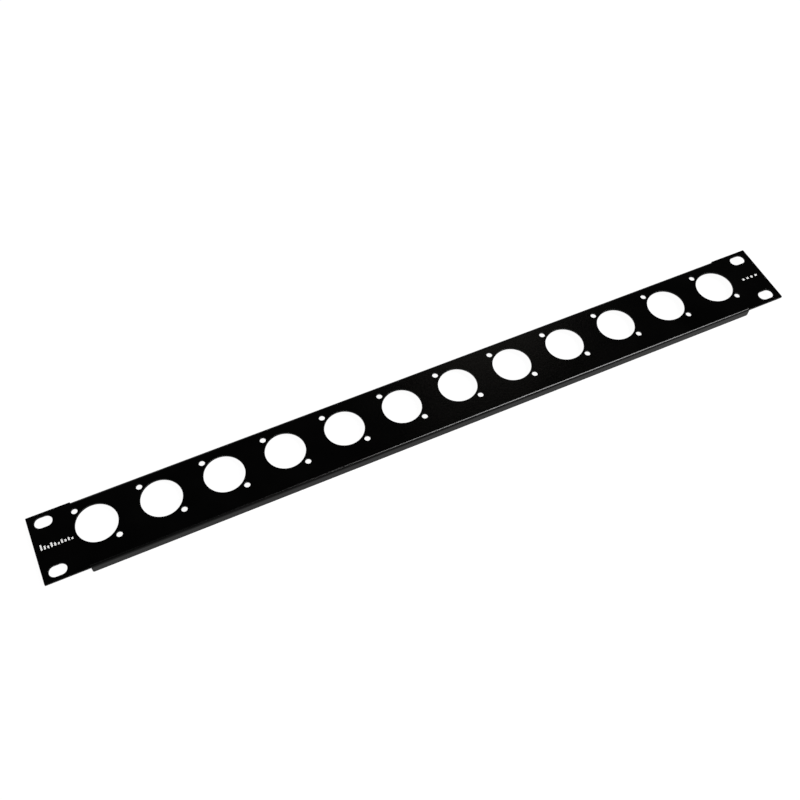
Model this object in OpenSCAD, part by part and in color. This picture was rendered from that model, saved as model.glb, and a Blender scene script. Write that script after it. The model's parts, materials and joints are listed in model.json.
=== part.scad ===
// Unloaded connector panel of an audio patch bay, one rack unit high.
// It is one folded steel sheet with cut-outs for D-size panel connectors and a small
// printed mark on each mounting ear.
//
// +X runs along the panel, +Y points to its top edge and +Z leaves its front face.
// The origin is the centre of the four rack slots, on the rear face of the ears.

/* [Sheet] */
// Width over both mounting ears
panel_w = 482.6; // [480:0.1:484]
// Height of the front face
panel_h = 43.6; // [43:0.1:44.4]
// Thickness of the coated sheet
sheet_t = 1.2; // [0.8:0.1:1.6]
// Radius of the four corners of the front face
corner_r = 0.5; // [0.3:0.1:2]

/* [Folded flanges] */
// Length of each flange, which leaves the ears flat
flange_len = 432; // [430:0.5:440]
// Depth of the flanges, measured from the front face
flange_depth = 6.4; // [4:0.1:12]
// Inside radius of the folds
fold_r = 0.5; // [0.4:0.1:1]
// Radius of the free corners of the flanges
flange_corner_r = 1; // [0.5:0.1:2]
// Width of the slit that frees each end of a fold from its ear
relief_w = 0.1; // [0.1:0.05:1]

/* [Rack slots] */
// Distance between the left and the right slots
slot_pitch_x = 465.1; // [465:0.1:465.2]
// Distance between the upper and the lower slots
slot_pitch_y = 31.75; // [31.7:0.05:31.8]
// Length of a slot, end to end
slot_len = 10.2; // [8:0.1:12]
// Width of a slot, which clears an M6 screw
slot_w = 7; // [6.4:0.1:7.4]

/* [Connector cut-outs] */
// Number of connector places
connector_count = 12; // [1:1:12]
// Distance between neighbouring connector places
connector_pitch = 37.4; // [32:0.1:38]
// Height of the connector row above the centre of the panel
row_offset = 3.2; // [0:0.1:3.6]
// Diameter of the round opening for the connector's body
bore_d = 24; // [23.6:0.1:24.4]
// Diameter of the two screw holes beside each opening
screw_d = 3.6; // [3.2:0.1:4]
// Distance between the two screw holes along the panel
screw_pitch_x = 19; // [18.8:0.1:19.2]
// Distance between the two screw holes across the panel
screw_pitch_y = 24; // [23.8:0.1:24.2]

/* [Printed marks] */
// Thickness of the printed ink
ink_t = 0.05; // [0.03:0.01:0.1]
// Width of one bar of the left mark
bar_w = 1; // [0.6:0.1:1.2]
// Distance between neighbouring bars
bar_pitch = 1.9; // [1.6:0.1:2.1]
// Side of one square of the right mark
square_side = 1.5; // [1:0.1:2]
// Distance between neighbouring squares
square_pitch = 3.2; // [3:0.1:3.6]

/* [Hidden] */
$fn = 96;

// Reach of a cutting tool past the sheet
cut = 1;
ear_len = (panel_w - flange_len) / 2;
// Outside radius of the folds
fold_outer_r = fold_r + sheet_t;
// Lowest Z, where the free edges of the flanges are
flange_z = sheet_t - flange_depth;
// Distance from the centre line to the start of each fold
fold_start = panel_h / 2 - fold_outer_r;
// A relief slit runs just past the start of its fold
relief_overrun = 0.2;

// Heights of the bars of the left mark, from its left end
bar_heights = [3.6, 2.4, 1.6, 2.8, 2, 1.2, 2.4, 1.6, 2, 1.2];
// Lower left corner of the left mark, in the plane of the front face
bars_at = [-238, -1.2];
// Lower left corner of the right mark
squares_at = [225.8, -0.4];
square_count = 4;

// ---- Flat shapes ----

// Channel seen from its end: it hangs from y = 0 and its two top corners are rounded
module channel_outline(w, depth, r) {
    translate([-w / 2 + r, -depth]) square([w - 2 * r, depth]);
    translate([-w / 2, -depth]) square([w, depth - r]);
    for (side = [-1, 1])
        translate([side * (w / 2 - r), -r]) circle(r);
}

// What comes off a square corner at the origin to round it: the material is at -X and -Y
module corner_trim(r) {
    translate([-r, -r])
        difference() {
            square(r + cut);
            circle(r);
        }
}

// ---- Sheet ----

// Front face and both flanges, as one fold profile drawn out along X
module folded_web() {
    translate([-flange_len / 2, 0, sheet_t])
        rotate([90, 0, 90])
            linear_extrude(flange_len)
                difference() {
                    channel_outline(panel_h, flange_depth, fold_outer_r);
                    translate([0, -sheet_t])
                        channel_outline(panel_h - 2 * sheet_t, flange_depth, fold_r);
                }
}

// Flat mounting ear on the right: the left one is its mirror image
module ear() {
    translate([flange_len / 2, -panel_h / 2, 0])
        cube([ear_len, panel_h, sheet_t]);
}

// Slit between one fold and one ear, at the upper right
module relief_slit() {
    translate([flange_len / 2, fold_start - relief_overrun, -cut])
        cube([relief_w, panel_h / 2 - fold_start + relief_overrun + cut, sheet_t + 2 * cut]);
}

// Rounds one outer corner of the front face, at the upper right
module ear_corner() {
    translate([panel_w / 2, panel_h / 2, -cut])
        linear_extrude(sheet_t + 2 * cut) corner_trim(corner_r);
}

// Rounds one free corner of a flange, at the upper right
module flange_corner() {
    translate([flange_len / 2, panel_h / 2 + cut, flange_z])
        rotate([90, 0, 0])
            linear_extrude(sheet_t + 2 * cut)
                mirror([0, 1]) corner_trim(flange_corner_r);
}

// Repeats an upper right feature at all four corners
module at_four_corners() {
    for (x = [0, 1], y = [0, 1])
        mirror([x, 0, 0]) mirror([0, y, 0]) children();
}

// ---- Openings ----

// Rack slot with round ends, long way along X
module rack_slot() {
    reach = (slot_len - slot_w) / 2;
    for (side = [-1, 1])
        translate([side * reach, 0, -cut]) cylinder(h = sheet_t + 2 * cut, d = slot_w);
    translate([-reach, -slot_w / 2, -cut]) cube([2 * reach, slot_w, sheet_t + 2 * cut]);
}

// Opening and two screw holes for one connector
module connector_cutout() {
    translate([0, 0, -cut]) cylinder(h = sheet_t + 2 * cut, d = bore_d);
    for (side = [-1, 1])
        translate([side * screw_pitch_x / 2, -side * screw_pitch_y / 2, -cut])
            cylinder(h = sheet_t + 2 * cut, d = screw_d, $fn = 48);
}

// ---- Nodes ----

module panel() {
    color([0.03, 0.03, 0.032])
        difference() {
            union() {
                folded_web();
                ear();
                mirror([1, 0, 0]) ear();
            }
            at_four_corners() {
                relief_slit();
                ear_corner();
                flange_corner();
                translate([slot_pitch_x / 2, slot_pitch_y / 2, 0]) rack_slot();
            }
            for (i = [0 : connector_count - 1])
                translate([(i - (connector_count - 1) / 2) * connector_pitch, row_offset, 0])
                    connector_cutout();
        }
}

// Row of plain bars on the left ear
module left_print() {
    color("white")
        for (i = [0 : len(bar_heights) - 1])
            translate([bars_at[0] + i * bar_pitch, bars_at[1], sheet_t])
                cube([bar_w, bar_heights[i], ink_t]);
}

// Row of plain squares on the right ear
module right_print() {
    color("white")
        for (i = [0 : square_count - 1])
            translate([squares_at[0] + i * square_pitch, squares_at[1], sheet_t])
                cube([square_side, square_side, ink_t]);
}

panel();
left_print();
right_print();
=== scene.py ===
"""Looks of an unloaded rack connector panel: one folded steel sheet with a black powder coat.

The sheet is drawn flat, as it leaves the punch, with every cut edge rounded over, and is
then folded, so its openings, edges and folds are one closed surface.
"""
import json
import math

import bpy
import numpy as np
from mathutils import Matrix, Quaternion, Vector
from mathutils.geometry import delaunay_2d_cdt


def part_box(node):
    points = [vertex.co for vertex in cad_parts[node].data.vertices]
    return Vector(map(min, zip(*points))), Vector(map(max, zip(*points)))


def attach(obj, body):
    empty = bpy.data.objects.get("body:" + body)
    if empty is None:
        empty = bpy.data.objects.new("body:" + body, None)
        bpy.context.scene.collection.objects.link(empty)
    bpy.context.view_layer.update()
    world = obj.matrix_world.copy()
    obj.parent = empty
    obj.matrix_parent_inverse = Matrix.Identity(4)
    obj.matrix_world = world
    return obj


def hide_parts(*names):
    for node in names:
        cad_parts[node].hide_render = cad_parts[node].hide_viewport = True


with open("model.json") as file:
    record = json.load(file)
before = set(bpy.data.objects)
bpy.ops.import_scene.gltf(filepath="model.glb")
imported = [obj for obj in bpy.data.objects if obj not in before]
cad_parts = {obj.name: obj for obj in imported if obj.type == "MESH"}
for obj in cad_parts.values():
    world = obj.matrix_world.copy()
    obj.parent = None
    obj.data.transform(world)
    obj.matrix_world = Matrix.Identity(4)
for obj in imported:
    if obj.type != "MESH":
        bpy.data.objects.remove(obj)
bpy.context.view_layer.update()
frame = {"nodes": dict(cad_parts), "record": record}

# ---- Sizes, in metres ----

MM = 0.001
panel_low, panel_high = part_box("panel")
half_w = panel_high.x
half_h = panel_high.y
sheet_t = panel_high.z  # the rear face of the sheet is at z = 0
flange_edge_z = panel_low.z

FLANGE_LEN = 432 * MM
FOLD_R = 0.5 * MM  # inside radius of the folds
FOLD_STEPS = 12  # flat strips round each fold
EAR_CORNER_R = 0.5 * MM
FLANGE_CORNER_R = 1 * MM
RELIEF_W = 0.02 * MM  # slit at the end of each fold: the coat all but closes it
RELIEF_OVERRUN = 0.2 * MM
RELIEF_MOUTH_R = 0.15 * MM
SCREW_PITCH_X = 19 * MM
SCREW_PITCH_Y = 24 * MM

# Rounding of the cut edges: the punch goes in from the front and leaves those edges softer
FRONT_EDGE_R = 0.13 * MM
REAR_EDGE_R = 0.08 * MM
EDGE_STEPS = 4

INK_CORNER_R = 0.15 * MM
INK_FRONT_R = 0.03 * MM
INK_REAR_R = 0.005 * MM

BORE_POINTS = 112
SCREW_POINTS = 40
SLOT_END_STEPS = 20
CORNER_STEPS = 6
FILL_TOLERANCE = 1e-5  # in millimetres, for points that a face's filling may take as one

fold_outer_r = FOLD_R + sheet_t
fold_start = half_h - fold_outer_r
fold_length = (FOLD_R + sheet_t / 2) * math.pi / 2  # along the middle of the sheet
flange_straight = sheet_t - flange_edge_z - fold_outer_r
flat_edge = fold_start + fold_length + flange_straight
fold_limit_x = FLANGE_LEN / 2 + RELIEF_W / 2


# ---- Outlines in the flat sheet: lists of (x, y, nx, ny), n pointing out of the steel ----

def arc(cx, cy, radius, start, end, steps, outwards=1):
    """Part of a circle, in degrees. outwards is -1 where the steel lies outside the circle."""
    points = []
    for i in range(steps + 1):
        angle = math.radians(start + (end - start) * i / steps)
        c, s = math.cos(angle), math.sin(angle)
        points.append((cx + radius * c, cy + radius * s, outwards * c, outwards * s))
    return points


def mirrored(points, sx, sy):
    """Points mirrored in X, in Y or in both, still running anticlockwise."""
    turned = [(sx * x, sy * y, sx * nx, sy * ny) for x, y, nx, ny in points]
    return turned if sx * sy > 0 else turned[::-1]


def sheet_quarter():
    """Upper right quarter of the sheet's outline, and the places of its fold points."""
    ear_inner_x = FLANGE_LEN / 2 + RELIEF_W
    slit_end_y = fold_start - RELIEF_OVERRUN + RELIEF_W / 2
    points = arc(half_w - EAR_CORNER_R, half_h - EAR_CORNER_R, EAR_CORNER_R, 0, 90, CORNER_STEPS)
    points += arc(ear_inner_x + RELIEF_MOUTH_R, half_h - RELIEF_MOUTH_R, RELIEF_MOUTH_R, 90, 180,
                  CORNER_STEPS)
    points += arc(fold_limit_x, slit_end_y, RELIEF_W / 2, 0, -180, 2 * CORNER_STEPS, outwards=-1)
    first = len(points)
    for i in range(FOLD_STEPS + 1):
        y = fold_start + fold_length * i / FOLD_STEPS
        points.append((FLANGE_LEN / 2, y, 1, 0))
    points += arc(FLANGE_LEN / 2 - FLANGE_CORNER_R, flat_edge - FLANGE_CORNER_R, FLANGE_CORNER_R,
                  0, 90, CORNER_STEPS)
    return points, range(first, first + FOLD_STEPS + 1)


def sheet_outline():
    """The whole outline, and the pairs of points that a fold line joins."""
    quarter, fold_points = sheet_quarter()
    outline = []
    for sx, sy in ((1, 1), (-1, 1), (-1, -1), (1, -1)):
        outline += mirrored(quarter, sx, sy)
    half = 2 * len(quarter)
    lines = []
    for i in fold_points:
        lines.append((i, half - 1 - i))
        lines.append((half + i, 2 * half - 1 - i))
    return outline, lines


def round_hole(x, y, radius, points):
    return arc(x, y, radius, 0, 360, points, outwards=-1)[:-1]


def slot_hole(x, y, length, width):
    reach = (length - width) / 2
    right = arc(x + reach, y, width / 2, -90, 90, SLOT_END_STEPS, outwards=-1)
    left = arc(x - reach, y, width / 2, 90, 270, SLOT_END_STEPS, outwards=-1)
    return right + left


def openings():
    """Outline of every opening, at the places and sizes that the record's mounts give."""
    loops = []
    for mount in frame["record"]["mounts"]:
        x, y, _ = mount["pos_m"]
        dims = mount["dims"]
        if mount["kind"] == "bore":
            loops.append(round_hole(x, y, dims["r_mm"] * MM, BORE_POINTS))
        elif "pcd_mm" in dims:
            for side in (-1, 1):
                loops.append(round_hole(x + side * SCREW_PITCH_X / 2, y - side * SCREW_PITCH_Y / 2,
                                        dims["hole_r_mm"] * MM, SCREW_POINTS))
        elif "slot_length_mm" in dims:
            for sx in (-1, 1):
                for sy in (-1, 1):
                    loops.append(slot_hole(x + sx * dims["spacing_x_mm"] * MM / 2,
                                           y + sy * dims["spacing_y_mm"] * MM / 2,
                                           dims["slot_length_mm"] * MM, 2 * dims["hole_r_mm"] * MM))
    return loops


# ---- Solid meshes from outlines ----

def edge_rings(top, front_r, rear_r):
    """Rings from a front face at height top to a rear face at 0, over both rounded edges.

    Each ring is (inset from the outline, height, how far its normal points out, and up)."""
    rings = []
    for i in range(EDGE_STEPS + 1):
        c, s = math.cos(i / EDGE_STEPS * math.pi / 2), math.sin(i / EDGE_STEPS * math.pi / 2)
        rings.append((front_r * (1 - s), top - front_r * (1 - c), s, c))
    for i in range(EDGE_STEPS + 1):
        s, c = math.cos(i / EDGE_STEPS * math.pi / 2), math.sin(i / EDGE_STEPS * math.pi / 2)
        rings.append((rear_r * (1 - s), rear_r * (1 - c), s, -c))
    return rings


def face_triangles(loops, starts, inset, lines, offset, flip):
    """Triangles that fill the first loop round the others, with an edge along every line."""
    flat = [Vector(((x - nx * inset) / MM, (y - ny * inset) / MM))
            for loop in loops for x, y, nx, ny in loop]
    bounds = [list(range(start, start + len(loop))) for start, loop in zip(starts, loops)]
    inside_faces = 1
    found = delaunay_2d_cdt(flat, lines, bounds, inside_faces, FILL_TOLERANCE)
    _, _, triangles, same_vertex, _, of_faces = found
    kept = []
    for corners, owners in zip(triangles, of_faces):
        if list(owners) != [0]:  # in an opening
            continue
        corners = [offset + same_vertex[c][0] for c in corners]
        kept.append(corners[::-1] if flip else corners)
    return kept


def plate(loops, lines, top, front_r, rear_r):
    """Vertices, normals, rim share and faces of a plate.

    The first loop is its outline and the others are its openings, all anticlockwise."""
    starts = [int(s) for s in np.cumsum([0] + [len(loop) for loop in loops[:-1]])]
    rings = edge_rings(top, front_r, rear_r)
    per_ring = sum(len(loop) for loop in loops)
    vertices, normals, rims, faces = [], [], [], []
    for inset, height, out, up in rings:
        for loop in loops:
            for x, y, nx, ny in loop:
                vertices.append((x - nx * inset, y - ny * inset, height))
                normals.append((nx * out, ny * out, up))
                rims.append(out)
    for ring in range(len(rings) - 1):
        for opening, (start, loop) in enumerate(zip(starts, loops)):
            n = len(loop)
            for i in range(n):
                a = ring * per_ring + start + i
                b = ring * per_ring + start + (i + 1) % n
                wall = (a, a + per_ring, b + per_ring, b)
                faces.append(wall[::-1] if opening else wall)
    last = (len(rings) - 1) * per_ring
    faces += face_triangles(loops, starts, rings[0][0], lines, 0, flip=False)
    faces += face_triangles(loops, starts, rings[-1][0], lines, last, flip=True)
    return np.array(vertices), np.array(normals), np.array(rims), faces


def folded(vertices, normals):
    """The flat sheet's points and normals after both flanges are folded to the rear."""
    x, y, height = vertices.T
    nx, ny, nz = normals.T
    side = np.sign(y)
    past = np.where(np.abs(x) < fold_limit_x, np.abs(y) - fold_start, 0).clip(0)
    turn = (past / fold_length).clip(0, 1) * math.pi / 2
    straight = (past - fold_length).clip(0)
    radius = FOLD_R + height
    c, s = np.cos(turn), np.sin(turn)
    inside = np.minimum(np.abs(y), fold_start)
    bent = past > 0
    new_y = np.where(bent, side * (inside + radius * s), y)
    new_z = np.where(bent, -FOLD_R + radius * c - straight, height)
    across = ny * side
    new_ny = side * (across * c + nz * s)
    new_nz = nz * c - across * s
    return np.column_stack([x, new_y, new_z]), np.column_stack([nx, new_ny, new_nz])


def make_piece(name, vertices, normals, rims, faces, material):
    mesh = bpy.data.meshes.new(name)
    mesh.from_pydata(vertices.tolist(), [], faces)
    mesh.polygons.foreach_set("use_smooth", [True] * len(mesh.polygons))
    mesh.normals_split_custom_set_from_vertices(normals.tolist())
    rim = mesh.attributes.new("rim", "FLOAT", "POINT")
    rim.data.foreach_set("value", rims.astype(np.float32))
    mesh.materials.append(material)
    piece = bpy.data.objects.new(name, mesh)
    bpy.context.scene.collection.objects.link(piece)
    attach(piece, "root")
    return piece


# ---- Materials ----

class Nodes:
    """Short way to add nodes to a material or a world and link them."""

    def __init__(self, block, shader="Principled BSDF"):
        block.use_nodes = True
        self.block = block
        self.tree = block.node_tree
        self.shader = self.tree.nodes[shader]

    def add(self, kind, settings=(), **inputs):
        node = self.tree.nodes.new("ShaderNode" + kind)
        for key, value in dict(settings).items():
            setattr(node, key, value)
        for key, value in inputs.items():
            self.put(node, key.replace("_", " "), value)
        return node

    def put(self, node, key, value):
        if isinstance(value, bpy.types.NodeSocket):
            self.tree.links.new(value, node.inputs[key])
        else:
            node.inputs[key].default_value = value

    def noise(self, place, scale, detail=2.0, roughness=0.5):
        return self.add("TexNoise", Vector=place, Scale=scale, Detail=detail,
                        Roughness=roughness).outputs["Fac"]

    def spread(self, value, low, high, to_low, to_high):
        node = self.add("MapRange")
        for key, v in zip(("Value", "From Min", "From Max", "To Min", "To Max"),
                          (value, low, high, to_low, to_high)):
            self.put(node, key, v)
        return node.outputs["Result"]

    def mix(self, share, first, second):
        """Colour between two. On a Mix node, sockets 0, 6 and 7 are its share and colours."""
        node = self.add("Mix", {"data_type": "RGBA"})
        for socket, value in ((0, share), (6, first), (7, second)):
            self.put(node, socket, value)
        return node.outputs[2]

    def math(self, operation, a, b):
        node = self.add("Math", {"operation": operation})
        self.put(node, 0, a)
        self.put(node, 1, b)
        return node.outputs[0]

    def bump(self, height, distance, strength=1.0, normal=None):
        node = self.add("Bump", Height=height, Distance=distance, Strength=strength)
        if normal is not None:
            self.put(node, "Normal", normal)
        return node.outputs["Normal"]


COAT_DARK = (0.0005, 0.0005, 0.0005, 1)
COAT_PALE = (0.0012, 0.00115, 0.0011, 1)
COAT_GLOSS = 0.27  # specular level
RIM_DULLNESS = 0.4  # roughness that a punched edge adds
PEEL_SCALE = 620  # each scale is in noise cells to the metre
PEEL_DEPTH = 0.028 * MM
GRAIN_SCALE = 4200
GRAIN_DEPTH = 0.005 * MM
CLOUD_SCALE = 26


def powder_coat():
    """Satin black powder coat: orange peel with a fine grain in it, duller on punched edges."""
    n = Nodes(bpy.data.materials.new("powder_coat"))
    place = n.add("TexCoord").outputs["Object"]
    rim = n.add("Attribute", {"attribute_name": "rim"}).outputs["Fac"]
    peel = n.noise(place, PEEL_SCALE, 2.0, 0.45)
    grain = n.noise(place, GRAIN_SCALE, 3.0, 0.6)
    cloud = n.noise(place, CLOUD_SCALE, 3.0, 0.55)
    n.put(n.shader, "Base Color", n.mix(n.spread(cloud, 0.35, 0.65, 0.0, 1.0), COAT_DARK, COAT_PALE))
    rough = n.spread(cloud, 0.3, 0.7, 0.18, 0.21)
    rough = n.math("ADD", rough, n.spread(grain, 0.3, 0.7, -0.02, 0.02))
    rough = n.math("ADD", rough, n.math("MULTIPLY", rim, RIM_DULLNESS))
    n.put(n.shader, "Roughness", rough)
    n.put(n.shader, "Normal", n.bump(grain, GRAIN_DEPTH, normal=n.bump(peel, PEEL_DEPTH)))
    n.put(n.shader, "Specular IOR Level", COAT_GLOSS)
    return n.block


INK_THIN = (0.7, 0.7, 0.692, 1)
INK_FULL = (0.88, 0.88, 0.866, 1)
COVER_SCALE = 3000
COVER_DEPTH = 0.006 * MM


def print_ink():
    """White screen-printed ink: a little uneven in cover, and matter than the coat below it."""
    n = Nodes(bpy.data.materials.new("print_ink"))
    place = n.add("TexCoord").outputs["Object"]
    cover = n.noise(place, COVER_SCALE, 4.0, 0.6)
    n.put(n.shader, "Base Color", n.mix(n.spread(cover, 0.3, 0.6, 0.0, 1.0), INK_THIN, INK_FULL))
    n.put(n.shader, "Roughness", n.spread(cover, 0.3, 0.7, 0.6, 0.48))
    n.put(n.shader, "Normal", n.bump(cover, COVER_DEPTH))
    return n.block


# ---- Pieces ----

def build_panel(material):
    outline, lines = sheet_outline()
    loops = [outline] + openings()
    vertices, normals, rims, faces = plate(loops, lines, sheet_t, FRONT_EDGE_R, REAR_EDGE_R)
    vertices, normals = folded(vertices, normals)
    piece = make_piece("panel_sheet", vertices, normals, rims, faces, material)
    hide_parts("panel")
    return piece


def island_boxes(node):
    """Lowest and highest corner of each separate solid in a CAD node, from left to right."""
    mesh = frame["nodes"][node].data
    corners = np.array([tuple(v.co) for v in mesh.vertices])
    keys = [tuple(np.round(c / MM, 3)) for c in corners]
    group = {key: key for key in keys}

    def root(key):
        while group[key] != key:
            key = group[key]
        return key

    for edge in mesh.edges:
        a, b = (root(keys[v]) for v in edge.vertices)
        group[a] = b
    islands = {}
    for key, corner in zip(keys, corners):
        islands.setdefault(root(key), []).append(corner)
    boxes = [(np.min(points, 0), np.max(points, 0)) for points in islands.values()]
    return sorted(boxes, key=lambda box: box[0][0])


def build_print(name, node, material):
    """The ink of one printed mark: each solid of the CAD node, with softened corners."""
    parts, start = [], 0
    for low, high in island_boxes(node):
        cx, cy = (low[0] + high[0]) / 2, (low[1] + high[1]) / 2
        x, y = (high[0] - low[0]) / 2 - INK_CORNER_R, (high[1] - low[1]) / 2 - INK_CORNER_R
        quarter = arc(x, y, INK_CORNER_R, 0, 90, CORNER_STEPS)
        loop = []
        for sx, sy in ((1, 1), (-1, 1), (-1, -1), (1, -1)):
            loop += [(cx + px, cy + py, nx, ny) for px, py, nx, ny in mirrored(quarter, sx, sy)]
        vertices, normals, rims, faces = plate([loop], [], high[2] - low[2], INK_FRONT_R, INK_REAR_R)
        vertices[:, 2] += low[2]
        parts.append((vertices, normals, rims, [[start + i for i in face] for face in faces]))
        start += len(vertices)
    faces = [face for part in parts for face in part[3]]
    vertices, normals, rims = (np.concatenate([part[i] for part in parts]) for i in range(3))
    piece = make_piece(name, vertices, normals, rims, faces, material)
    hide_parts(node)
    return piece


# ---- Stage ----

STAGE_R = 4.0
STAGE_STEPS = 64
BACKDROP_TOP = 3.4
GREY_PAPER_Z = flange_edge_z - 1 * MM
PAPER = (0.068, 0.068, 0.068, 1)
WHITE_GLOW = 0.97
GREY_GLOW = 0.46


def studio_paper(name, glow):
    """Paper that is lit through from behind, as in a light tent, so shadows stay faint."""
    n = Nodes(bpy.data.materials.new(name))
    n.put(n.shader, "Base Color", PAPER)
    n.put(n.shader, "Roughness", 0.9)
    n.put(n.shader, "Specular IOR Level", 0.1)
    n.put(n.shader, "Emission Color", (1, 1, 1, 1))
    n.put(n.shader, "Emission Strength", glow)
    return n.block


def stage_surface(name, heights, material):
    """Round stage surface: a disc at one height, or a wall between two."""
    turns = [2 * math.pi * i / STAGE_STEPS for i in range(STAGE_STEPS)]
    points = [(STAGE_R * math.cos(t), STAGE_R * math.sin(t), h) for h in heights for t in turns]
    ring = list(range(STAGE_STEPS))
    if len(heights) == 1:
        faces = [ring]
    else:
        faces = [(i, j, STAGE_STEPS + j, STAGE_STEPS + i) for i, j in zip(ring, ring[1:] + [0])]
    mesh = bpy.data.meshes.new(name)
    mesh.from_pydata(points, [], faces)
    mesh.materials.append(material)
    surface = bpy.data.objects.new(name, mesh)
    bpy.context.scene.collection.objects.link(surface)
    return surface


def make_stage():
    """Pale floor at the level that the flange edges rest on, and a pale backdrop round it.

    The camera sees these two. What the coat reflects is the grey paper under the floor, the
    room and the lights."""
    white = studio_paper("studio_white", WHITE_GLOW)
    floor = stage_surface("floor", [flange_edge_z], white)
    backdrop = stage_surface("backdrop", [flange_edge_z, BACKDROP_TOP], white)
    floor.visible_glossy = False
    backdrop.visible_glossy = False
    backdrop.visible_diffuse = False
    grey = stage_surface("grey_paper", [GREY_PAPER_Z], studio_paper("studio_grey", GREY_GLOW))
    grey.visible_camera = False
    grey.visible_diffuse = False


LIGHT_DISTANCE = 3.0
WHITE = (1, 1, 1)
WARM = (1.0, 0.93, 0.84)


def soft_light(name, azimuth, elevation, across, tall, radiance, colour=WHITE, lean=0):
    """Oval soft light that faces the panel.

    azimuth is in degrees from -Y towards +X. across and tall are the angles that the light
    fills as the panel sees it, lean turns it on its own axis, and radiance is its brightness."""
    turn, rise = math.radians(azimuth), math.radians(elevation)
    away = Vector((math.sin(turn) * math.cos(rise), -math.cos(turn) * math.cos(rise),
                   math.sin(rise)))
    lamp = bpy.data.lights.new(name, "AREA")
    lamp.shape = "ELLIPSE"
    lamp.size = 2 * LIGHT_DISTANCE * math.tan(math.radians(across / 2))
    lamp.size_y = 2 * LIGHT_DISTANCE * math.tan(math.radians(tall / 2))
    lamp.energy = radiance * math.pi * math.pi * lamp.size * lamp.size_y / 4
    lamp.color = colour
    light = bpy.data.objects.new(name, lamp)
    light.location = away * LIGHT_DISTANCE
    light.rotation_mode = "QUATERNION"
    light.rotation_quaternion = (away.to_track_quat("Z", "Y")
                                 @ Quaternion((0, 0, 1), math.radians(lean)))
    light.visible_camera = False
    bpy.context.scene.collection.objects.link(light)


def make_lights():
    """Key for the bright line along the fold, glow for the sheen on the face, and three fills."""
    soft_light("key", 43.5, 53, across=14, tall=40, radiance=24)
    soft_light("glow", 145, 52.2, across=12, tall=3, radiance=0.8, colour=WARM, lean=31)
    soft_light("overhead", -90, 70, across=30, tall=24, radiance=0.6)
    soft_light("left_fill", -65, 35, across=40, tall=30, radiance=0.5)
    soft_light("rear_fill", 200, 28, across=50, tall=20, radiance=0.8)


ROOM_PALE = 0.3
ROOM_DARK = 0.009
# Sines of the elevations between which the room goes from pale to dark
PALE_TO = 0.4
DARK_FROM = 0.7


def make_room():
    """Room that the coat reflects: dark overhead, with a pale band round the horizon."""
    n = Nodes(bpy.data.worlds.new("room"), "Background")
    away = n.add("TexCoord").outputs["Generated"]
    height = n.add("SeparateXYZ", Vector=away).outputs["Z"]
    n.put(n.shader, "Color", (1, 1, 1, 1))
    n.put(n.shader, "Strength", n.spread(height, PALE_TO, DARK_FROM, ROOM_PALE, ROOM_DARK))
    bpy.context.scene.world = n.block


CAMERA_AIM = (-18 * MM, 7.5 * MM)  # where the view's centre meets the front face
CAMERA_DISTANCE = 620 * MM
CAMERA_HEADING = 26.0  # degrees from +Y towards +X
CAMERA_DROP = 56.8  # degrees below the horizon
CAMERA_ROLL = 1.4  # degrees anticlockwise
CAMERA_LENS = 46.4  # focal length in mm, on a sensor 36 mm wide
CAMERA_NEAR = 10 * MM


def make_camera():
    heading, drop, roll = (math.radians(a) for a in (CAMERA_HEADING, CAMERA_DROP, CAMERA_ROLL))
    forward = Vector((math.sin(heading) * math.cos(drop), math.cos(heading) * math.cos(drop),
                      -math.sin(drop)))
    level = forward.cross(Vector((0, 0, 1))).normalized()
    upright = level.cross(forward)
    right = level * math.cos(roll) + upright * math.sin(roll)
    up = upright * math.cos(roll) - level * math.sin(roll)
    place = Vector((*CAMERA_AIM, sheet_t)) - forward * CAMERA_DISTANCE
    data = bpy.data.cameras.new("camera")
    data.lens = CAMERA_LENS
    data.clip_start = CAMERA_NEAR
    camera = bpy.data.objects.new("camera", data)
    facing = Matrix((right, up, -forward)).transposed().to_4x4()
    camera.matrix_world = Matrix.Translation(place) @ facing
    bpy.context.scene.collection.objects.link(camera)
    bpy.context.scene.camera = camera


make_camera()
make_lights()
make_room()
make_stage()
coat = powder_coat()
ink = print_ink()
build_panel(coat)
build_print("left_mark", "left_print", ink)
build_print("right_mark", "right_print", ink)
bpy.context.scene.view_settings.view_transform = "Standard"
